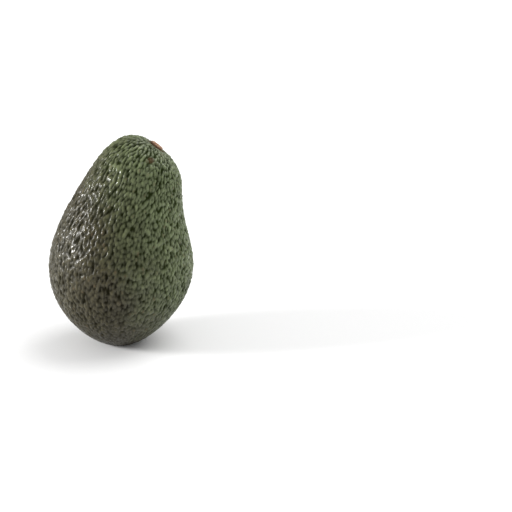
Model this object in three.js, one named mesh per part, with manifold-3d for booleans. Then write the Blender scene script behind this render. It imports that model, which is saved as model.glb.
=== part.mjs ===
// A whole rough-skinned avocado that stands on the small flat spot at its blossom end, with the dried
// stem button still seated in the dimple of its neck.
// Millimetres. +Z is up, the neck leans towards +X, and the origin is the middle of the flat spot.

import * as THREE from "three";
import { mergeVertices } from "three/addons/utils/BufferGeometryUtils.js";
import Module from "manifold-3d";

// The fruit's form. The core line is a cubic curve in the XZ plane, from the blossom end to the stem end,
// given by its control points. Round it the radius is BELLY_RADIUS * sin(u) * (1 + a C + b C^2 + ...),
// where u runs from 0 at the blossom end to 180 degrees at the stem end and C is its cosine.
const BELLY_RADIUS = 33.15;
const PEAR_TERMS = [1, 0.363, -0.154, -0.493, 0.254];
const CORE_POINTS = [
  [0.4, -1.8],
  [0.0, 19.5],
  [-1.5, 70.1],
  [20.2, 97.6],
];

// Slow unevenness of the form, as on any grown fruit: two waves round the fruit that twist as they rise.
const LUMP_HEIGHT = 0.35;
const LUMP_WAVES = [
  { count: 2, twist: 1.3, start: 0.6 },
  { count: 3, twist: -2.1, start: 2.0 },
];

// The skin's pebbles: a hexagonal net of low bumps with a pit at every corner between three of them.
const PEBBLE_NET_STEPS = 12;
const PEBBLE_TOP = 0.6;
const PIT_DEPTH = 0.7;
const HEIGHT_SPREAD = 0.25;
const PLACE_SPREAD = 0.018;
const SEED = 41;

// The dimple in the neck, and the level floor of the socket in it. The skin is smooth out to
// SMOOTH_WITHIN of the stem pole, and has its full relief from ROUGH_BEYOND on.
const SOCKET_RADIUS = 3.9;
const SOCKET_DEPTH = 1.5;
const DIMPLE_RADIUS = 7.2;
const DIMPLE_STEPS = 5;
const DIMPLE_SIDES = 30;
const SMOOTH_WITHIN = 3.6;
const ROUGH_BEYOND = 9;

// The stem button, a corky disc with a worn, wavy rim and a low knob where the stalk's veins ran.
const BUTTON_GAP = 0.3;
const BUTTON_RADIUS = 3.3;
const BUTTON_HEIGHT = 2.0;
const BUTTON_SIDES = 32;
const BUTTON_WAVES = [
  { count: 3, height: 0.05, start: 0.4 },
  { count: 7, height: 0.03, start: 1.9 },
];

// The button's outline from its underside to its knob, as shares of BUTTON_RADIUS and BUTTON_HEIGHT.
const BUTTON_OUTLINE = [
  [0, 0],
  [0.84, 0],
  [0.97, 0.3],
  [1, 0.62],
  [0.93, 0.86],
  [0.8, 0.95],
  [0.58, 0.84],
  [0.34, 0.86],
  [0.2, 1],
  [0, 1],
];

const UP = new THREE.Vector3(0, 0, 1);
const CUT_BLOCK_SIZE = 60;
const CUT_HEIGHT_OVER_DIMPLE = 12;
const WELD_DISTANCE = 1e-4;
const NORMAL_STEP = 0.01;

const coreLine = new THREE.CubicBezierCurve3(
  ...CORE_POINTS.map(([x, z]) => new THREE.Vector3(x, 0, z)),
);
const stemPole = coreLine.getPoint(1);
const stemDirection = coreLine.getTangent(1);

const wasm = await Module();
wasm.setup();

// A geometry with only its positions, and with shared vertices merged.
function welded(geometry) {
  geometry.deleteAttribute("normal");
  geometry.deleteAttribute("uv");
  return mergeVertices(geometry, WELD_DISTANCE);
}

// A closed geometry as a solid that can be cut.
function solidOf(geometry) {
  const merged = welded(geometry);
  return new wasm.Manifold(
    new wasm.Mesh({
      numProp: 3,
      vertProperties: merged.attributes.position.array,
      triVerts: new Uint32Array(merged.index.array),
    }),
  );
}

// A solid back as a geometry.
function geometryOf(solid) {
  const mesh = solid.getMesh();
  const geometry = new THREE.BufferGeometry();
  geometry.setAttribute("position", new THREE.BufferAttribute(mesh.vertProperties, 3));
  geometry.setIndex(new THREE.BufferAttribute(mesh.triVerts, 1));
  geometry.computeVertexNormals();
  return geometry;
}

// A turned body with its axis along +Z, from an outline of [radius, height] points.
function turnedAlongZ(outline, sides) {
  const points = outline.map(([radius, height]) => new THREE.Vector2(radius, height));
  return new THREE.LatheGeometry(points, sides).rotateX(Math.PI / 2);
}

// The point on the smooth form in a direction seen from a unit ball that is mapped onto the fruit:
// the ball's height is the way along the core line, and its longitude is the turn round the line.
function smoothPoint(direction) {
  const cosine = THREE.MathUtils.clamp(-direction.z, -1, 1);
  const sine = Math.sqrt(1 - cosine * cosine);
  const along = (1 - cosine) / 2;
  const turn = Math.atan2(direction.y, direction.x);
  const pear = PEAR_TERMS.reduce((sum, term, power) => sum + term * cosine ** power, 0);
  const lumps = LUMP_WAVES.reduce(
    (sum, wave) => sum + Math.sin(wave.count * turn + wave.twist * cosine + wave.start),
    0,
  );
  const radius = sine * (BELLY_RADIUS * pear + LUMP_HEIGHT * lumps * sine);
  const tangent = coreLine.getTangentAt(along);
  const side = new THREE.Vector3(tangent.z, 0, -tangent.x);
  return coreLine
    .getPointAt(along)
    .addScaledVector(side, radius * Math.cos(turn))
    .add(new THREE.Vector3(0, radius * Math.sin(turn), 0));
}

// The outward normal of the smooth form there, from two small steps across the ball.
function smoothNormal(direction) {
  const across = new THREE.Vector3(-direction.y, direction.x, 0);
  if (across.length() < NORMAL_STEP) across.set(0, 1, 0);
  across.normalize();
  const upwards = new THREE.Vector3().crossVectors(direction, across);
  const shifted = (axis, amount) =>
    smoothPoint(direction.clone().addScaledVector(axis, amount).normalize());
  const alongAcross = shifted(across, NORMAL_STEP).sub(shifted(across, -NORMAL_STEP));
  const alongUpwards = shifted(upwards, NORMAL_STEP).sub(shifted(upwards, -NORMAL_STEP));
  return alongAcross.cross(alongUpwards).normalize();
}

// A point of the rough skin. The relief dies out round the dimple, where the real skin is smooth.
function skinPoint(direction, height) {
  const point = smoothPoint(direction);
  const relief = THREE.MathUtils.smoothstep(point.distanceTo(stemPole), SMOOTH_WITHIN, ROUGH_BEYOND);
  return point.addScaledVector(smoothNormal(direction), height * relief);
}

// A random number from -1 to 1 out of the seeded series.
function spread() {
  return 2 * THREE.MathUtils.seededRandom() - 1;
}

// The rough skin as one closed surface. Every vertex of a fine icosahedron is a pebble's top and the
// middle of every triangle is a pit, and each edge of the net becomes two faces that run from a top
// down to the pits on either side of the edge.
function pebbledSkin() {
  THREE.MathUtils.seededRandom(SEED);
  const net = welded(new THREE.IcosahedronGeometry(1, PEBBLE_NET_STEPS));
  const corners = net.index.array;
  const tops = [];
  for (let i = 0; i < net.attributes.position.count; i++) {
    const jitter = new THREE.Vector3(spread(), spread(), spread()).multiplyScalar(PLACE_SPREAD);
    tops.push(new THREE.Vector3().fromBufferAttribute(net.attributes.position, i).add(jitter).normalize());
  }
  const points = tops.map((top) => skinPoint(top, PEBBLE_TOP * (1 + HEIGHT_SPREAD * spread())));
  const pitLeftOfEdge = new Map();
  const edgeName = (from, to) => `${from}-${to}`;
  for (let i = 0; i < corners.length; i += 3) {
    const triangle = [corners[i], corners[i + 1], corners[i + 2]];
    const middle = new THREE.Vector3();
    triangle.forEach((corner) => middle.add(tops[corner]));
    points.push(skinPoint(middle.normalize(), -PIT_DEPTH * (1 + HEIGHT_SPREAD * spread())));
    triangle.forEach((corner, side) => {
      pitLeftOfEdge.set(edgeName(corner, triangle[(side + 1) % 3]), points.length - 1);
    });
  }
  const faces = [];
  for (const [name, leftPit] of pitLeftOfEdge) {
    const [from, to] = name.split("-").map(Number);
    faces.push(from, pitLeftOfEdge.get(edgeName(to, from)), leftPit);
  }
  const geometry = new THREE.BufferGeometry().setFromPoints(points);
  geometry.setIndex(faces);
  return geometry;
}

// What is cut away at the stem end: a level socket floor, and round it a bowl that flattens outwards
// into the skin. Heights are measured from the stem pole along the core line's end.
function dimpleTool() {
  const outline = [[0, -SOCKET_DEPTH]];
  for (let i = 0; i <= DIMPLE_STEPS; i++) {
    const share = i / DIMPLE_STEPS;
    const radius = THREE.MathUtils.lerp(SOCKET_RADIUS, DIMPLE_RADIUS, share);
    outline.push([radius, SOCKET_DEPTH * (Math.sin((share * Math.PI) / 2) - 1)]);
  }
  outline.push([DIMPLE_RADIUS, CUT_HEIGHT_OVER_DIMPLE], [0, CUT_HEIGHT_OVER_DIMPLE]);
  return atStemEnd(turnedAlongZ(outline, DIMPLE_SIDES));
}

// Turns a geometry from +Z to the stem end's direction and puts its origin on the stem pole.
function atStemEnd(geometry) {
  const turn = new THREE.Quaternion().setFromUnitVectors(UP, stemDirection);
  return geometry.applyQuaternion(turn).translate(...stemPole);
}

// The block below the surface that the fruit stands on: cutting it away leaves the flat spot.
function flatSpotTool() {
  const block = new THREE.BoxGeometry(CUT_BLOCK_SIZE, CUT_BLOCK_SIZE, CUT_BLOCK_SIZE);
  return block.translate(0, 0, -CUT_BLOCK_SIZE / 2);
}

function makeFruit() {
  const body = solidOf(pebbledSkin())
    .subtract(solidOf(flatSpotTool()))
    .subtract(solidOf(dimpleTool()));
  const mesh = new THREE.Mesh(
    geometryOf(body),
    new THREE.MeshStandardMaterial({ color: "#3b4a2b", roughness: 0.42, metalness: 0 }),
  );
  mesh.name = "fruit";
  return mesh;
}

// The stem button, turned from its outline, with the rim's waves made by moving each vertex outwards.
function makeStemButton() {
  const outline = BUTTON_OUTLINE.map(([across, up]) => [across * BUTTON_RADIUS, up * BUTTON_HEIGHT]);
  const geometry = welded(turnedAlongZ(outline, BUTTON_SIDES));
  const place = geometry.attributes.position;
  for (let i = 0; i < place.count; i++) {
    const turn = Math.atan2(place.getY(i), place.getX(i));
    const wave = BUTTON_WAVES.reduce((sum, w) => sum + w.height * Math.sin(w.count * turn + w.start), 0);
    place.setXY(i, place.getX(i) * (1 + wave), place.getY(i) * (1 + wave));
  }
  geometry.computeVertexNormals();
  const mesh = new THREE.Mesh(
    geometry,
    new THREE.MeshStandardMaterial({ color: "#a8744c", roughness: 0.85, metalness: 0 }),
  );
  mesh.name = "stem_button";
  mesh.quaternion.setFromUnitVectors(UP, stemDirection);
  mesh.position.copy(stemPole).addScaledVector(stemDirection, BUTTON_GAP - SOCKET_DEPTH);
  return mesh;
}

const avocado = new THREE.Group();
avocado.add(makeFruit(), makeStemButton());

export default avocado;
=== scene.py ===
# %% [markdown]
# # A whole rough-skinned avocado
#
# The fruit stands on the small flat spot at its blossom end, and its neck leans to one side. A dried
# stem button sits in a dimple at the neck end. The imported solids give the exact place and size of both
# pieces. This file makes the fine surfaces that stand for them: a skin with thousands of small pebbles,
# and a corky button with a worn rim.

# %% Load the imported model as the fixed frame
import math

import bpy
import numpy as np
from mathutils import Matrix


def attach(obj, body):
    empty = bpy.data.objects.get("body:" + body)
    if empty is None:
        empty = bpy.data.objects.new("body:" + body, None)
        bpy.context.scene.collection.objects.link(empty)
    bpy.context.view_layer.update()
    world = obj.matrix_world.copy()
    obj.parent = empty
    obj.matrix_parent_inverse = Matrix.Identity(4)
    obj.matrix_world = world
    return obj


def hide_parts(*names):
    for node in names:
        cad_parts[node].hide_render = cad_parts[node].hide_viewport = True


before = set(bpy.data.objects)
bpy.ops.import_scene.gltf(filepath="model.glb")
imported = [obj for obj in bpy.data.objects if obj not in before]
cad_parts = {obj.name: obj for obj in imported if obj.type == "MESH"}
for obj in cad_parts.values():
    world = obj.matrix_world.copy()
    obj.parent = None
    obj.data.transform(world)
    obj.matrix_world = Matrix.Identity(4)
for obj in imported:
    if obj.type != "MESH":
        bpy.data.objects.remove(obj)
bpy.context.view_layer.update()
print("nodes:", sorted(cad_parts))


# %% [markdown]
# ## The form of the fruit
#
# An avocado is an egg that has been drawn out into a neck and bent. It could be sculpted by hand, or
# turned on an axis and then bent by a modifier. A formula is chosen here because the same few real
# dimensions then give the solids and the fine skin alike. A cubic curve is the core line. Round it the
# radius is a sine, full in the middle and zero at both ends, multiplied by a short power series that
# makes the belly full and the neck slender.

# %% Driving dimensions of the form, in millimetres
MM = 0.001
BELLY_RADIUS = 33.15
PEAR_TERMS = (1, 0.363, -0.154, -0.493, 0.254)
CORE_POINTS = np.array([(0.4, 0, -1.8), (0.0, 0, 19.5), (-1.5, 0, 70.1), (20.2, 0, 97.6)])
LUMP_HEIGHT = 0.35
LUMP_WAVES = ((2, 1.3, 0.6), (3, -2.1, 2.0))  # count round the fruit, twist, start


# %% The core line
def cubic_curve(share):
    """Points of the core line: the control points weighted by Bernstein's cubic polynomials."""
    t = np.asarray(share, float)[..., None]
    weights = ((1 - t) ** 3, 3 * t * (1 - t) ** 2, 3 * t**2 * (1 - t), t**3)
    return sum(weight * point for weight, point in zip(weights, CORE_POINTS))


def running_length(points):
    """Length along a row of points, from 0 at the first one."""
    return np.concatenate(([0.0], np.cumsum(np.linalg.norm(np.diff(points, axis=0), axis=1))))


CURVE_SAMPLES = 2001
CURVE_SHARES = np.linspace(0, 1, CURVE_SAMPLES)
CURVE_LENGTHS = running_length(cubic_curve(CURVE_SHARES))
CORE_LENGTH = CURVE_LENGTHS[-1]
print("core line:", round(CORE_LENGTH, 2), "mm long")


def core_line(along):
    """Point and unit direction of the core line, where along is the share of its length."""
    def place(a):
        return cubic_curve(np.interp(a * CORE_LENGTH, CURVE_LENGTHS, CURVE_SHARES))

    step = 1e-3
    low, high = np.clip(along - step, 0, 1), np.clip(along + step, 0, 1)
    direction = place(high) - place(low)
    return place(along), direction / np.linalg.norm(direction, axis=-1, keepdims=True)


# %% The smooth form as a function of two angles
def smooth_form(fall, turn):
    """Points of the smooth form. fall runs from 0 at the blossom end to pi at the stem end, and turn
    runs round the core line. The radius is belly * sin(fall) * (1 + a C + b C^2 + ...) with C the
    cosine of fall, plus two slow waves, and it is laid off square to the core line."""
    cosine, sine = np.cos(fall), np.sin(fall)
    pear = sum(term * cosine**power for power, term in enumerate(PEAR_TERMS))
    lumps = sum(np.sin(count * turn + twist * cosine + start) for count, twist, start in LUMP_WAVES)
    radius = sine * (BELLY_RADIUS * pear + LUMP_HEIGHT * lumps * sine)
    centre, direction = core_line((1 - cosine) / 2)
    zero = np.zeros_like(direction[..., 0])
    side = np.stack((direction[..., 2], zero, -direction[..., 0]), axis=-1)
    across = np.array((0.0, 1.0, 0.0))
    return centre + (radius * np.cos(turn))[..., None] * side + (radius * np.sin(turn))[..., None] * across


stem_pole, stem_direction = (value[0] for value in core_line(np.array([1.0])))
lean = math.degrees(math.atan2(stem_direction[0], stem_direction[2]))
print("stem pole at", stem_pole.round(1), "leaning", round(lean, 1), "degrees")


# %% [markdown]
# ## Rows and columns
#
# The skin is one grid: rows from the blossom end to the stem end, columns round the fruit. The pebbles
# are longer along the fruit than round it, so the rows may lie further apart than the columns. Near the
# stem the rows move closer together, because the dimple there has a sharp edge.

# %% Lay out the grid
ROWS = 208
COLUMNS = 470
DENSER_AT_STEM = 1.3  # extra share of rows at the stem pole
DENSER_WITHIN = 7.0  # mm over which that extra dies away
FALL_SAMPLES = 4001

many_falls = np.linspace(0, np.pi, FALL_SAMPLES)
meridian = running_length(smooth_form(many_falls, np.full_like(many_falls, np.pi / 2)))
row_weight = 1 + DENSER_AT_STEM * np.exp(-(meridian[-1] - meridian) / DENSER_WITHIN)
row_count = np.concatenate(([0.0], np.cumsum((row_weight[1:] + row_weight[:-1]) / 2 * np.diff(meridian))))
falls = np.interp(np.linspace(0, row_count[-1], ROWS + 1), row_count, many_falls)
turns = np.arange(COLUMNS) * 2 * np.pi / COLUMNS
FALL, TURN = np.meshgrid(falls, turns, indexing="ij")
form = smooth_form(FALL, TURN)
row_reach = np.interp(falls, many_falls, meridian)
print("meridian:", round(meridian[-1], 1), "mm; rows at most", round(float(np.diff(row_reach).max()), 2),
      "mm apart")


# %% Directions along, round and out of the surface
def unit(vectors):
    """Vectors scaled to length 1; a zero vector stays zero."""
    return vectors / np.maximum(np.linalg.norm(vectors, axis=-1, keepdims=True), 1e-12)


TINY = 1e-3  # radians moved off the poles, where the directions would vanish
safe_fall = np.clip(FALL, TINY, np.pi - TINY)
along_skin = unit(smooth_form(safe_fall + TINY / 2, TURN) - smooth_form(safe_fall - TINY / 2, TURN))
round_skin = unit(smooth_form(safe_fall, TURN + TINY) - smooth_form(safe_fall, TURN - TINY))
outward = unit(np.cross(round_skin, along_skin))
print("outward directions point away from the core:",
      bool(((outward * (form - core_line((1 - np.cos(FALL)) / 2)[0])).sum(-1)[5:-5] > 0).all()))


# %% [markdown]
# ## Where the pebbles stand
#
# The skin of this kind of avocado is covered all over with low pebbles, a little under two millimetres
# apart and longer along the fruit than round it. They could come from a texture, but then the outline
# would stay smooth. Here each pebble has a seed point. The seeds follow the spiral that plants use
# themselves: each one is a golden angle further round than the last, at an even pace over the area. A
# random push takes the regular look away.

# %% Seed points on a golden-angle spiral
PEBBLES = 7400
GOLDEN_ANGLE = math.pi * (3 - math.sqrt(5))
PUSH = 1.1  # mm, the largest push along and round the fruit
SIZES = (0.75, 1.3)  # the smallest and the largest pebble against the usual one
PEBBLE_SEED = 41
rng = np.random.default_rng(PEBBLE_SEED)

radii = np.abs(smooth_form(many_falls, np.full_like(many_falls, np.pi / 2))[:, 1])
ring_area = 2 * np.pi * (radii[1:] + radii[:-1]) / 2 * np.diff(meridian)
area_below = np.concatenate(([0.0], np.cumsum(ring_area)))
seed_number = np.arange(PEBBLES)
seed_reach = np.interp((seed_number + 0.5) / PEBBLES * area_below[-1], area_below, meridian)
seed_reach = np.clip(seed_reach + rng.uniform(-PUSH, PUSH, PEBBLES), 0, meridian[-1])
seed_radius = np.maximum(np.interp(seed_reach, meridian, radii), PUSH)
seed_turn = seed_number * GOLDEN_ANGLE + rng.uniform(-PUSH, PUSH, PEBBLES) / seed_radius
seed_points = smooth_form(np.interp(seed_reach, meridian, many_falls), seed_turn)
seed_tone = rng.uniform(0, 1, PEBBLES)
seed_size = rng.uniform(*SIZES, PEBBLES)
print("skin area:", round(area_below[-1] / 100, 1), "cm2; a pebble has",
      round(area_below[-1] / PEBBLES, 2), "mm2")


# %% A soft step and a slow noise
def smoothstep(low, high, value):
    """0 below low, 1 above high, and an S-shaped curve between them."""
    t = np.clip((value - low) / (high - low), 0, 1)
    return t * t * (3 - 2 * t)


def slow_noise(points, wavelength, seed, waves=6):
    """A smooth random field from -1 to 1: the mean of sines that run in random directions."""
    draw = np.random.default_rng(seed)
    ways = unit(draw.normal(size=(waves, 3)))
    directions = ways * draw.uniform(0.7, 1.4, (waves, 1)) * 2 * np.pi / wavelength
    starts = draw.uniform(0, 2 * np.pi, waves)
    return np.sin(points @ directions.T + starts).mean(-1) * math.sqrt(2 * waves) / 2


# %% Find the three nearest seeds of every point
STRETCH = 1.65  # how much longer a pebble is along the fruit than round it
SLANT = math.radians(-10)  # the long way of the pebbles leans this far from the meridian on average
SLANT_SPREAD = math.radians(24)  # and strays this far from that lean
SLANT_PERIOD = 20.0  # mm over which the lean changes
SLANT_SEED = 5
ROUND_NEAR_POLES = (3, 15)  # mm from a pole, over which the pebbles go from round to long
SEARCH = 8.0  # mm of the meridian, either way, in which a row looks for its seeds


def nearest_seeds(row):
    """Distances from the points of one row to their three nearest seeds, and the numbers of those
    seeds. The part of a distance along the pebbles' long way is divided by their stretch, and the whole
    distance by the size of the seed's own pebble."""
    near = np.flatnonzero(np.abs(seed_reach - row_reach[row]) < SEARCH)
    from_pole = min(row_reach[row], meridian[-1] - row_reach[row])
    stretch = 1 + (STRETCH - 1) * smoothstep(*ROUND_NEAR_POLES, from_pole)
    slant = (SLANT + SLANT_SPREAD * slow_noise(form[row], SLANT_PERIOD, SLANT_SEED))[:, None]
    long_way = along_skin[row] * np.cos(slant) + round_skin[row] * np.sin(slant)
    gap = form[row][:, None, :] - seed_points[near][None, :, :]
    lengthwise = (gap * long_way[:, None, :]).sum(-1)
    square = ((gap**2).sum(-1) - (1 - 1 / stretch**2) * lengthwise**2) / seed_size[near] ** 2
    order = np.argpartition(square, (0, 1, 2), axis=1)[:, :3]
    return np.sqrt(np.take_along_axis(square, order, axis=1)), near[order]


found = [nearest_seeds(row) for row in range(ROWS + 1)]
first, second, third = np.moveaxis(np.array([distances for distances, _ in found]), -1, 0)
own, neighbour, third_seed = np.moveaxis(np.array([numbers for _, numbers in found]), -1, 0)
print("distance to the nearest seed:", round(float(first.mean()), 2), "mm on average; to the second:",
      round(float(second.mean()), 2), "mm")


# %% [markdown]
# ## The relief of the skin
#
# A pebble is a low dome. Some neighbours have grown together over a high saddle and others are parted
# by a deep groove, which gives short wrinkles. Where three pebbles meet there is a pit. The distances to
# the three nearest seeds say where that is: the first over the second is 0 on a seed and 1 half way to
# the neighbour, and the first over the third is 1 only in a pit. Every pair of neighbours has its own
# random saddle height.

# %% Height of domes, saddles and pits
DOME = (0.3, 0.65)  # mm, the lowest and the highest dome
SADDLE = (-0.6, 0.15)
PIT = 0.75
PIT_NARROWNESS = 4  # power of the fall into a pit
ROUNDNESS = 1.6  # power of the fall from a dome to its saddles
BLEND = 8  # power with which the nearer of the saddles round a pit count more
OWN_WEIGHT = 4  # of a point of the grid against each neighbour, when the relief is averaged


def averaged(grid):
    """Each value averaged with its neighbours, first round and then along the fruit, so that no fold
    of the mesh is too sharp. A neighbour has the weight 1, and the value itself has OWN_WEIGHT."""
    total = OWN_WEIGHT + 2
    result = (np.roll(grid, 1, axis=1) + OWN_WEIGHT * grid + np.roll(grid, -1, axis=1)) / total
    result[1:-1] = (result[:-2] + OWN_WEIGHT * result[1:-1] + result[2:]) / total
    return result


dome = rng.uniform(*DOME, PEBBLES)[own]
saddles = rng.uniform(*SADDLE, PEBBLES)
beside = (second / third) ** BLEND
beyond = (first / third) ** BLEND
saddle = (
    saddles[(own + neighbour) % PEBBLES]
    + beside * saddles[(own + third_seed) % PEBBLES]
    + beyond * saddles[(neighbour + third_seed) % PEBBLES]
) / (1 + beside + beyond)
fall = (first / second) ** ROUNDNESS
relief = averaged(dome * (1 - fall) + saddle * fall - PIT * (first / third) ** PIT_NARROWNESS)
print("relief in mm, lowest, tenths of the skin and highest:",
      np.percentile(relief, range(0, 101, 10)).round(2))


# %% [markdown]
# ## Smoother skin at both ends
#
# Round the stem the skin is smooth, and at the foot its pebbles are low. That could be painted as a mask.
# Here the relief is multiplied by two soft steps, one with the distance from the stem and one with the
# height, because a rule in millimetres can be read and changed. Then it is laid off outwards.

# %% Where the skin is smoother
SMOOTH_WITHIN = 3.6  # mm from the stem pole
ROUGH_BEYOND = 9.0
CALM_BLOSSOM_END = 0.24  # what is left of the relief at the blossom end
CALM_BELOW = 38.0  # mm of height over which it grows to full

from_stem = np.linalg.norm(form - stem_pole, axis=-1)
strength = smoothstep(SMOOTH_WITHIN, ROUGH_BEYOND, from_stem)
strength *= CALM_BLOSSOM_END + (1 - CALM_BLOSSOM_END) * smoothstep(0, CALM_BELOW, form[..., 2])
skin = form + (relief * strength)[..., None] * outward
print("points with their full relief:", int((strength == 1).sum()), "of", strength.size)


# %% [markdown]
# ## The dimple and the flat spot
#
# At the stem end the skin turns in to a shallow dimple, and its floor is the level socket that the stem
# button sits in. It could be cut with a Boolean, but moving the points keeps the grid whole: each
# point's height along the stem is held under the height of a bowl. At the other end the fruit's own
# weight presses the skin flat, which is the same thing with a level plane.

# %% Press the dimple and the flat spot into the skin
SOCKET_RADIUS = 3.9
SOCKET_DEPTH = 1.5
DIMPLE_RADIUS = 7.2
SOFT_EDGE = 0.35  # mm over which the rim is rounded


def under(value, limit, softness):
    """The smaller of two heights, with the corner between them rounded over softness."""
    mix = np.clip(0.5 + (limit - value) / (2 * softness), 0, 1)
    return limit * (1 - mix) + value * mix - softness * mix * (1 - mix)


stem_offset = skin - stem_pole
up_stem = stem_offset @ stem_direction
off_axis = np.linalg.norm(stem_offset - up_stem[..., None] * stem_direction, axis=-1)
bowl_share = np.clip((off_axis - SOCKET_RADIUS) / (DIMPLE_RADIUS - SOCKET_RADIUS), 0, 1)
bowl = SOCKET_DEPTH * (np.sin(bowl_share * np.pi / 2) - 1)
near_stem = (up_stem > -2 * DIMPLE_RADIUS) & (off_axis < DIMPLE_RADIUS)
pressed = np.where(near_stem, under(up_stem, bowl, SOFT_EDGE), up_stem)
skin += (pressed - up_stem)[..., None] * stem_direction
skin[..., 2] = np.maximum(skin[..., 2], 0)
on_floor = skin[skin[..., 2] == 0]
spot_width = 2 * float(np.linalg.norm(on_floor, axis=-1).max())
print("socket floor:", round(float(pressed[-1].mean()), 2), "mm; flat spot:", len(on_floor), "points,",
      round(spot_width, 1), "mm across")


# %% [markdown]
# ## From a grid to a mesh
#
# The first and the last row each shrink to one point, so they become a single vertex with a fan of
# triangles. Between them every four neighbours make one face, and the last column joins the first one
# again, so the surface is closed all round.

# %% Make a closed mesh from a grid that goes round
def closed_object(name, grid, values):
    """An object from a grid of points in millimetres, rows by columns. Row 0 and the last row are
    poles. values is a dict of grids that become point attributes."""
    rows, columns = grid.shape[0] - 1, grid.shape[1]
    points = np.vstack((grid[0, :1], grid[1:-1].reshape(-1, 3), grid[-1, :1])) * MM
    ring = 1 + np.arange((rows - 1) * columns).reshape(rows - 1, columns)
    ahead = np.roll(ring, -1, axis=1)
    quads = np.stack((ring[:-1], ahead[:-1], ahead[1:], ring[1:]), axis=-1).reshape(-1, 4)
    last = len(points) - 1
    bottom = np.stack((np.zeros_like(ring[0]), ahead[0], ring[0]), axis=-1)
    top = np.stack((np.full_like(ring[-1], last), ring[-1], ahead[-1]), axis=-1)
    mesh = bpy.data.meshes.new(name)
    mesh.from_pydata(points.tolist(), [], quads.tolist() + bottom.tolist() + top.tolist())
    for key, value in values.items():
        flat = np.concatenate((value[0, :1], value[1:-1].ravel(), value[-1, :1]))
        mesh.attributes.new(key, "FLOAT", "POINT").data.foreach_set("value", flat.astype(np.float32))
    mesh.shade_smooth()
    made = bpy.data.objects.new(name, mesh)
    bpy.context.scene.collection.objects.link(made)
    print(name, "has", len(points), "points and", 2 * len(quads) + 2 * columns, "triangles")
    return made


# %% [markdown]
# ## Dry, corky skin
#
# Some of the skin has turned to dry cork: the dimple round the stem button, the small scar that the
# flower left at the blossom end, a rub mark on the neck, and a fleck on the tip of a few pebbles, where
# the young fruit once breathed. All of it goes into one mask, so the material needs one colour for it.

# %% The mask of the corky skin and the skin as an object
DIMPLE_EDGE = (3.9, 5.4)  # mm from the stem's axis, between which the cork fades out
RAGGED = 0.9  # mm by which that edge strays in and out
RAGGED_PERIOD = 3.0  # mm from one stray to the next
RAGGED_SEED = 17
SCAR_PLACE = (0.4, 0, 0)
SCAR_RADIUS = 1.6
RUB_PLACE = np.array((14.3, -15.2, 95.2))
RUB_RADIUS = 1.7
RUB_STRENGTH = 0.8
FLECKED_PEBBLES = 0.03  # share of the pebbles
FLECK_RADIUS = 0.45
FLECK_STRENGTH = 0.6
SPOT_EDGE = (0.5, 1.3)  # shares of a spot's radius, between which it fades out


def spot(distance, radius):
    """1 at the middle of a spot and 0 outside it, with a soft edge."""
    return 1 - smoothstep(SPOT_EDGE[0] * radius, SPOT_EDGE[1] * radius, distance)


stray = RAGGED * slow_noise(form, RAGGED_PERIOD, RAGGED_SEED)
in_dimple = near_stem * (1 - smoothstep(*DIMPLE_EDGE, off_axis + stray))
scar = spot(np.linalg.norm(skin - SCAR_PLACE, axis=-1), SCAR_RADIUS)
rub = RUB_STRENGTH * spot(np.linalg.norm(form - RUB_PLACE, axis=-1), RUB_RADIUS)
fleck = FLECK_STRENGTH * spot(first, FLECK_RADIUS) * (seed_tone[own] > 1 - FLECKED_PEBBLES)
cork = np.max((in_dimple, scar, rub, fleck), axis=0)
# The height share is 0 in the deepest pit that the numbers allow and 1 on the highest dome.
height_share = np.clip((relief * strength - SADDLE[0] + PIT) / (DOME[1] - SADDLE[0] + PIT), 0, 1)
skin_object = closed_object(
    "avocado_skin", skin, {"pebble_height": height_share, "pebble_tone": seed_tone[own], "cork": cork}
)
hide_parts("fruit")
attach(skin_object, "root")


# %% [markdown]
# ## The stem button
#
# When the fruit is picked, a stub of the stalk stays behind and dries to cork. It is a small disc with
# a shrunken side, a worn rim, and a hollow top with a low knob where the veins ran. A cylinder could be
# sculpted into it. Here an outline is turned round the stem's axis, and waves, cracks and crumbs are
# added to the radius and the height.

# %% Shape the stem button
BUTTON_GAP = 0.3
BUTTON_RADIUS = 3.3
BUTTON_HEIGHT = 2.0
BUTTON_WAVES = ((3, 0.05, 0.4), (7, 0.03, 1.9))  # count round the rim, height, start
BUTTON_OUTLINE = np.array([
    (0, 0), (0.84, 0), (0.97, 0.3), (1, 0.62), (0.93, 0.86),
    (0.8, 0.95), (0.58, 0.84), (0.34, 0.86), (0.2, 1), (0, 1),
])
BUTTON_ROWS = 90
BUTTON_COLUMNS = 160
SMOOTHING_PASSES = 12
TOP_EDGE = (0.55, 0.85)  # shares of the height, between which the side turns into the top
UNDERSIDE_ROWS = 0.4  # share of the rows that never belong to the top
CRUMBS = ((0.35, 11, 0.5), (0.16, 12, 0.35))  # size as a share of the button's radius, seed, weight
CRUMB_WAVES = 12  # sines in each of those noises
CRUMB_HEIGHT = 0.16  # mm on the top
CRUMB_SPREAD = 0.02  # share of the radius
CRACK_COUNT = 5
CRACK_BEND = (1.5, 1.1, 13)  # radians, size as a share of the button's radius, seed
CRACK_DEPTH = 0.48  # mm
CRACK_REACH = (0.25, 0.7)  # shares of the radius, between which the cracks grow to full depth


def rounded(outline, count, passes):
    """The outline resampled to count evenly spaced points, then smoothed by averaging neighbours."""
    reach = running_length(outline * (BUTTON_RADIUS, BUTTON_HEIGHT))
    even = np.linspace(0, reach[-1], count + 1)
    line = np.stack([np.interp(even, reach, outline[:, i]) for i in (0, 1)], axis=-1)
    for _ in range(passes):
        line[1:-1] = (line[:-2] + 2 * line[1:-1] + line[2:]) / 4
    return line


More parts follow.
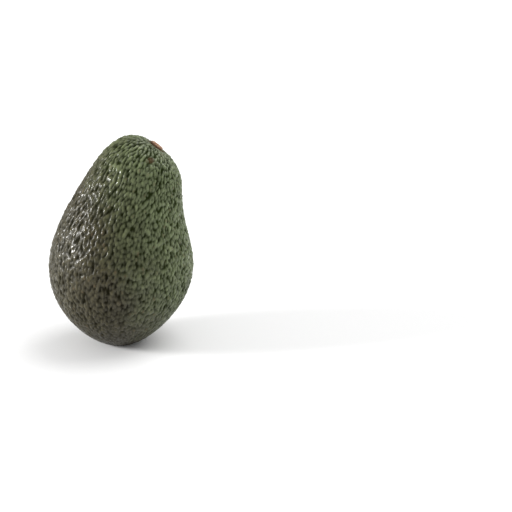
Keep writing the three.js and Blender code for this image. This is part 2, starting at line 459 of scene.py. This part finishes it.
button_line = rounded(BUTTON_OUTLINE, BUTTON_ROWS, SMOOTHING_PASSES)
button_turns = np.arange(BUTTON_COLUMNS) * 2 * np.pi / BUTTON_COLUMNS
out_share, turn_grid = np.meshgrid(button_line[:, 0], button_turns, indexing="ij")
up_share = np.repeat(button_line[:, 1:], BUTTON_COLUMNS, axis=1)
past_underside = np.arange(BUTTON_ROWS + 1)[:, None] > BUTTON_ROWS * UNDERSIDE_ROWS
on_top = smoothstep(*TOP_EDGE, up_share) * past_underside
wave = sum(height * np.sin(count * turn_grid + start) for count, height, start in BUTTON_WAVES)
flat_place = np.stack((out_share * np.cos(turn_grid), out_share * np.sin(turn_grid), up_share), axis=-1)
crumbs = sum(
    weight * slow_noise(flat_place, size, seed, CRUMB_WAVES) for size, seed, weight in CRUMBS
)
bend, bend_size, bend_seed = CRACK_BEND
bent_turn = CRACK_COUNT / 2 * turn_grid + bend * slow_noise(flat_place, bend_size, bend_seed)
crack = 1 - np.sqrt(np.abs(np.sin(bent_turn)))
crack_depth = CRACK_DEPTH * crack * smoothstep(*CRACK_REACH, out_share) * on_top
radius = out_share * BUTTON_RADIUS * (1 + wave) * (1 + CRUMB_SPREAD * crumbs)
height = up_share * BUTTON_HEIGHT + on_top * (CRUMB_HEIGHT * crumbs - crack_depth)
button_side = np.array((stem_direction[2], 0, -stem_direction[0]))
button_grid = (
    stem_pole
    + (radius * np.cos(turn_grid))[..., None] * button_side
    + (radius * np.sin(turn_grid))[..., None] * np.array((0.0, 1.0, 0.0))
    + (height + BUTTON_GAP - SOCKET_DEPTH)[..., None] * stem_direction
)
# hollow is the mask of the painted shade on the top: its cracks and the low places between its crumbs.
button_object = closed_object(
    "stem_button_cork",
    button_grid,
    {"top": on_top, "rim": out_share, "hollow": np.clip(0.5 - crumbs / 2 + crack_depth, 0, 1)},
)
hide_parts("stem_button")
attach(button_object, "root")


# %% [markdown]
# ## Helpers for materials
#
# Colours are chosen as they look on a screen, so they are written as sRGB hex values and turned to
# linear light. One helper adds any node with its settings and its links, which keeps each material
# short enough to read.

# %% Colours and nodes
def linear(hex_colour):
    """An sRGB hex colour as linear red, green, blue and alpha 1."""
    parts = [int(hex_colour[i : i + 2], 16) / 255 for i in (1, 3, 5)]
    return [p / 12.92 if p <= 0.04045 else ((p + 0.055) / 1.055) ** 2.4 for p in parts] + [1.0]


# Sockets of the mix node, which have the same names for every kind of data.
SHARE, FROM_COLOUR, TO_COLOUR, MIXED = 0, 6, 7, 2


def add(tree, kind, inputs, **settings):
    """Adds a node of that kind. settings are its properties. inputs maps its sockets to outputs that
    feed them, to plain values or to hex colours."""
    node = tree.nodes.new(kind)
    for key, value in settings.items():
        setattr(node, key, value)
    for key, value in inputs.items():
        if isinstance(value, bpy.types.NodeSocket):
            tree.links.new(value, node.inputs[key])
        else:
            node.inputs[key].default_value = linear(value) if isinstance(value, str) else value
    return node.outputs


def new_material(name):
    """A material with a node tree, and its Principled shader."""
    material = bpy.data.materials.new(name)
    material.use_nodes = True
    return material, material.node_tree, material.node_tree.nodes["Principled BSDF"]


# %% [markdown]
# ## The skin's finish
#
# Avocado skin is a thin, leathery rind under a natural wax. It ripens unevenly, from green to a dark
# purple brown. This fruit has turned brown on one flank and at its foot, and is still green on the other
# flank and on the neck. One colour picture wrapped round the fruit could hold all that, but it would be
# blurred from close by. Here the colour follows the pebbles' own heights, so it is as sharp as they are,
# and the pits between them are painted nearly black as shade.

# %% Make the skin material
BLOTCH = 14 * MM  # uneven ripening
BUMPLET = 0.9 * MM  # small bumps on the pebbles
GRAIN = 0.5 * MM  # the finest wrinkles of the rind; real ones are 0.2 mm, too fine to show
TO_GREEN = (0.97, -0.24, 0.3)  # the way from the brown flank to the green one
GREEN_FROM = 4 * MM  # along that way, where the green begins
GREEN_TO = 52 * MM  # and where it is full
BLOTCH_REACH = 26 * MM  # how far a blotch can shift the border between brown and green
BUMPLET_DEPTH = 0.12 * MM
GRAIN_DEPTH = 0.05 * MM
# The pit colours are painted shade, the near-black that a pit has in its own shadow.
BROWN_PIT_SHADE, BROWN_TOP = "#161405", "#403b25"
GREEN_PIT_SHADE, GREEN_TOP = "#212b0a", "#717c58"
CORK = "#4d3b25"
PEBBLE_SHADES = (0.78, 1.22)  # the darkest and the palest pebble against the usual one
# Shares of the relief's height. The pits' painted shade reaches up to PIT_TO, and a top's full colour
# starts at TOP_FROM. The wax starts at DULL_TO and is full from WAXED_FROM on.
PIT_TO, TOP_FROM = 0.45, 0.93
DULL_TO, WAXED_FROM = 0.48, 0.83
ROUGHNESS = (0.75, 0.17)  # in a pit and on a top
GLOSS = (0.08, 0.5)  # the shader's specular level, in a pit and on a top
CORK_DULLNESS = 0.4  # added to the roughness
WAX_IOR = 1.42


def skin_material():
    # The thin, leathery rind under its natural wax. It gives the eye a satin gloss on the tops of the
    # pebbles, and dull pits between them, which are painted nearly black as shade.
    material, tree, shader = new_material("avocado_rind")
    place = add(tree, "ShaderNodeTexCoord", {})["Object"]
    height = add(tree, "ShaderNodeAttribute", {}, attribute_name="pebble_height")["Fac"]
    tone = add(tree, "ShaderNodeAttribute", {}, attribute_name="pebble_tone")["Fac"]
    cork = add(tree, "ShaderNodeAttribute", {}, attribute_name="cork")["Fac"]

    # Green or brown: the way across the fruit, shifted by blotches.
    blotch = add(tree, "ShaderNodeTexNoise", {"Vector": place, "Scale": 1 / BLOTCH, "Detail": 3.0})["Fac"]
    across = add(tree, "ShaderNodeVectorMath", {0: place, 1: TO_GREEN}, operation="DOT_PRODUCT")["Value"]
    border = add(
        tree, "ShaderNodeMath", {0: blotch, 1: BLOTCH_REACH, 2: across}, operation="MULTIPLY_ADD"
    )[0]
    shift = BLOTCH_REACH / 2
    green = add(
        tree, "ShaderNodeMapRange",
        {"Value": border, "From Min": GREEN_FROM + shift, "From Max": GREEN_TO + shift},
        interpolation_type="SMOOTHSTEP",
    )["Result"]

    # Painted shade in the pits, paler tops, a different tone on each pebble, and cork over all of it.
    pit_shade = add(
        tree, "ShaderNodeMix", {SHARE: green, FROM_COLOUR: BROWN_PIT_SHADE, TO_COLOUR: GREEN_PIT_SHADE}, data_type="RGBA"
    )[MIXED]
    tops = add(
        tree, "ShaderNodeMix", {SHARE: green, FROM_COLOUR: BROWN_TOP, TO_COLOUR: GREEN_TOP}, data_type="RGBA"
    )[MIXED]
    raised = add(
        tree, "ShaderNodeMapRange", {"Value": height, "From Min": PIT_TO, "From Max": TOP_FROM},
        interpolation_type="SMOOTHSTEP",
    )["Result"]
    rind = add(
        tree, "ShaderNodeMix", {SHARE: raised, FROM_COLOUR: pit_shade, TO_COLOUR: tops}, data_type="RGBA"
    )[MIXED]
    shade = add(
        tree, "ShaderNodeMapRange", {"Value": tone, "To Min": PEBBLE_SHADES[0], "To Max": PEBBLE_SHADES[1]}
    )["Result"]
    toned = add(tree, "ShaderNodeHueSaturation", {"Color": rind, "Value": shade})["Color"]
    colour = add(
        tree, "ShaderNodeMix", {SHARE: cork, FROM_COLOUR: toned, TO_COLOUR: CORK}, data_type="RGBA"
    )[MIXED]
    tree.links.new(colour, shader.inputs["Base Color"])

    # The wax shines on the tops, and the pits and the cork are dull. Plant wax bends light a little less
    # than glass does.
    waxed = add(
        tree, "ShaderNodeMapRange",
        {"Value": height, "From Min": DULL_TO, "From Max": WAXED_FROM,
         "To Min": ROUGHNESS[0], "To Max": ROUGHNESS[1]},
    )["Result"]
    dulled = add(
        tree, "ShaderNodeMath", {0: cork, 1: CORK_DULLNESS, 2: waxed},
        operation="MULTIPLY_ADD", use_clamp=True,
    )[0]
    tree.links.new(dulled, shader.inputs["Roughness"])
    shader.inputs["IOR"].default_value = WAX_IOR

    # A real pit is narrower than the mesh can show, and swallows much of the light that it would throw
    # back.
    gloss = add(
        tree, "ShaderNodeMapRange",
        {"Value": height, "From Min": PIT_TO, "From Max": WAXED_FROM,
         "To Min": GLOSS[0], "To Max": GLOSS[1]},
    )["Result"]
    tree.links.new(gloss, shader.inputs["Specular IOR Level"])

    # Small bumps and the fine grain, which are too small for the mesh.
    bumplets = add(
        tree, "ShaderNodeTexVoronoi", {"Vector": place, "Scale": 1 / BUMPLET}, feature="SMOOTH_F1"
    )["Distance"]
    grain = add(tree, "ShaderNodeTexNoise", {"Vector": place, "Scale": 1 / GRAIN, "Detail": 2.0})["Fac"]
    bumpy = add(
        tree, "ShaderNodeBump", {"Height": bumplets, "Strength": 1.0, "Distance": -BUMPLET_DEPTH}
    )["Normal"]
    grainy = add(
        tree, "ShaderNodeBump",
        {"Height": grain, "Strength": 0.35, "Distance": GRAIN_DEPTH, "Normal": bumpy},
    )["Normal"]
    tree.links.new(grainy, shader.inputs["Normal"])
    print(material.name, "has", len(tree.nodes), "nodes")
    return material


skin_object.data.materials.append(skin_material())


# %% [markdown]
# ## The cork of the stem button
#
# The button is orange brown in the middle of its top, paler where the rim has been rubbed, and dark
# brown on the side, which has shrunk back into the socket. Its cracks and the low places between its
# crumbs are painted a darker brown still, as shade. Three numbers that were stored with its shape say
# where that is, so no part of the colour has to be painted by hand.

# %% Make the stem button's material
FIBRE = 0.5 * MM  # real wood fibres are 0.1 mm apart, too fine to show
FIBRE_DEPTH = 0.1 * MM
# HOLLOW_SHADE is painted shade, for the cracks and the low places of the top.
MIDDLE, RUBBED_RIM, HOLLOW_SHADE, SHRUNKEN_SIDE = "#94623a", "#b99a82", "#5e3216", "#80604a"
RUBBED_BETWEEN = (0.45, 0.85)  # shares of the radius, over which the rubbed rim begins
SUNK_BETWEEN = (0.45, 0.9)  # how hollow a place is, where a crack's colour begins and where it is full


def cork_material():
    # Dry cork and wood fibre of the stalk. It gives the eye a matt, crumbly, warm brown spot on the neck.
    material, tree, shader = new_material("dried_stalk_cork")
    place = add(tree, "ShaderNodeTexCoord", {})["Object"]
    top = add(tree, "ShaderNodeAttribute", {}, attribute_name="top")["Fac"]
    rim = add(tree, "ShaderNodeAttribute", {}, attribute_name="rim")["Fac"]
    hollow = add(tree, "ShaderNodeAttribute", {}, attribute_name="hollow")["Fac"]
    rubbed = add(
        tree, "ShaderNodeMapRange",
        {"Value": rim, "From Min": RUBBED_BETWEEN[0], "From Max": RUBBED_BETWEEN[1]},
        interpolation_type="SMOOTHSTEP",
    )["Result"]
    # Painted shade: the top turns dark brown where it lies low, in its cracks and between its crumbs.
    sunk = add(
        tree, "ShaderNodeMapRange",
        {"Value": hollow, "From Min": SUNK_BETWEEN[0], "From Max": SUNK_BETWEEN[1]},
        interpolation_type="SMOOTHSTEP",
    )["Result"]
    surface = add(
        tree, "ShaderNodeMix", {SHARE: rubbed, FROM_COLOUR: MIDDLE, TO_COLOUR: RUBBED_RIM}, data_type="RGBA"
    )[MIXED]
    worn_and_shaded = add(
        tree, "ShaderNodeMix", {SHARE: sunk, FROM_COLOUR: surface, TO_COLOUR: HOLLOW_SHADE}, data_type="RGBA"
    )[MIXED]
    colour = add(
        tree, "ShaderNodeMix", {SHARE: top, FROM_COLOUR: SHRUNKEN_SIDE, TO_COLOUR: worn_and_shaded}, data_type="RGBA"
    )[MIXED]
    tree.links.new(colour, shader.inputs["Base Color"])
    shader.inputs["Roughness"].default_value = 0.85
    grain = add(tree, "ShaderNodeTexNoise", {"Vector": place, "Scale": 1 / FIBRE, "Detail": 3.0})["Fac"]
    crumbly = add(
        tree, "ShaderNodeBump", {"Height": grain, "Strength": 0.6, "Distance": FIBRE_DEPTH}
    )["Normal"]
    tree.links.new(crumbly, shader.inputs["Normal"])
    print(material.name, "has", len(tree.nodes), "nodes")
    return material


button_object.data.materials.append(cork_material())


# %% [markdown]
# ## The camera
#
# The picture was taken from about 20 degrees above the table with a long lens. The picture's scale and
# the place of the fruit in it are known, so the camera can be worked out: it looks at the point that
# lies as far from the flat spot as the middle of the picture does.

# %% Place the camera
AZIMUTH = math.radians(-14)
ELEVATION = math.radians(20)
DISTANCE = 0.9
PIXELS = 512
PIXELS_PER_MM = 2.07
SPOT_PIXEL = (117.9, 340.3)  # where the middle of the flat spot lies in the picture
SENSOR = 36.0

to_right = np.array((math.cos(AZIMUTH), math.sin(AZIMUTH), 0))
to_camera = np.array((
    math.sin(AZIMUTH) * math.cos(ELEVATION),
    -math.cos(AZIMUTH) * math.cos(ELEVATION),
    math.sin(ELEVATION),
))
right_by = (PIXELS / 2 - SPOT_PIXEL[0]) / PIXELS_PER_MM * MM
up_by = (SPOT_PIXEL[1] - PIXELS / 2) / PIXELS_PER_MM / math.cos(ELEVATION) * MM
target = right_by * to_right + np.array((0, 0, up_by))

camera_data = bpy.data.cameras.new("camera")
camera_data.sensor_width = SENSOR
camera_data.lens = PIXELS_PER_MM / MM * DISTANCE * SENSOR / PIXELS
camera_data.clip_start = 0.05
camera_data.clip_end = 20
camera = bpy.data.objects.new("camera", camera_data)
bpy.context.scene.collection.objects.link(camera)
camera.location = target + DISTANCE * to_camera
camera.rotation_euler = (math.pi / 2 - ELEVATION, 0, AZIMUTH)
bpy.context.scene.camera = camera
print("lens:", round(camera_data.lens, 1), "mm")


# %% [markdown]
# ## The floor
#
# The fruit stands on a plain, nearly white table. A sheet that curves up behind it is usual in a studio.
# Here the camera looks down through a long lens, so a wide, level floor fills the picture by itself.

# %% Lay the floor
HALF_FLOOR = 3.0
floor_corners = HALF_FLOOR * np.array([(-1, -1, 0), (1, -1, 0), (1, 1, 0), (-1, 1, 0)])
floor_mesh = bpy.data.meshes.new("floor")
floor_mesh.from_pydata(floor_corners.tolist(), [], [(0, 1, 2, 3)])
floor = bpy.data.objects.new("floor", floor_mesh)
bpy.context.scene.collection.objects.link(floor)
# Matt white card, which gives the eye an even ground and soft shadows.
floor_material, _, floor_shader = new_material("white_card")
floor_shader.inputs["Base Color"].default_value = linear("#eeeeee")
floor_shader.inputs["Roughness"].default_value = 0.8
floor_mesh.materials.append(floor_material)
print("floor:", 2 * HALF_FLOOR, "m wide")


# %% [markdown]
# ## The lights
#
# The light is that of a studio tent: white all round, with one soft light low on the left, which makes
# the pebbles of the left flank sparkle, and a larger one high on the right and behind, which keeps the
# other flank light. A picture of a studio could light the fruit as well, but square lights and a white
# world can be moved and changed one at a time.

# %% Place the lights
AIM = np.array((0, 0, 0.05))
TENT_STRENGTH = 0.6
# Name, metres to the left of the fruit, behind it and above the floor, size in metres and power in watts.
SOFTBOXES = (
    ("left_softbox", 1.35, -0.2, 0.46, 0.36, 28.0),
    ("right_softbox", -0.9, 0.5, 1.5, 1.9, 28.0),
)


def soft_light(name, left, behind, up, size, power):
    """A square area light that shines on the fruit, with its place given as the camera sees it."""
    data = bpy.data.lights.new(name, "AREA")
    data.shape = "SQUARE"
    data.size = size
    data.energy = power
    light = bpy.data.objects.new(name, data)
    bpy.context.scene.collection.objects.link(light)
    away = np.array((-math.sin(AZIMUTH), math.cos(AZIMUTH), 0))
    place = behind * away - left * to_right + np.array((0, 0, up))
    direction = AIM - place
    light.location = place
    light.rotation_euler = (
        math.atan2(math.hypot(direction[0], direction[1]), -direction[2]),
        0,
        math.atan2(-direction[0], direction[1]),
    )
    print(name, "at", place.round(2), "m")


for softbox in SOFTBOXES:
    soft_light(*softbox)
world = bpy.data.worlds.new("studio_tent")
world.use_nodes = True
world.node_tree.nodes["Background"].inputs["Color"].default_value = linear("#ffffff")
world.node_tree.nodes["Background"].inputs["Strength"].default_value = TENT_STRENGTH
bpy.context.scene.world = world
bpy.context.scene.view_settings.view_transform = "Standard"
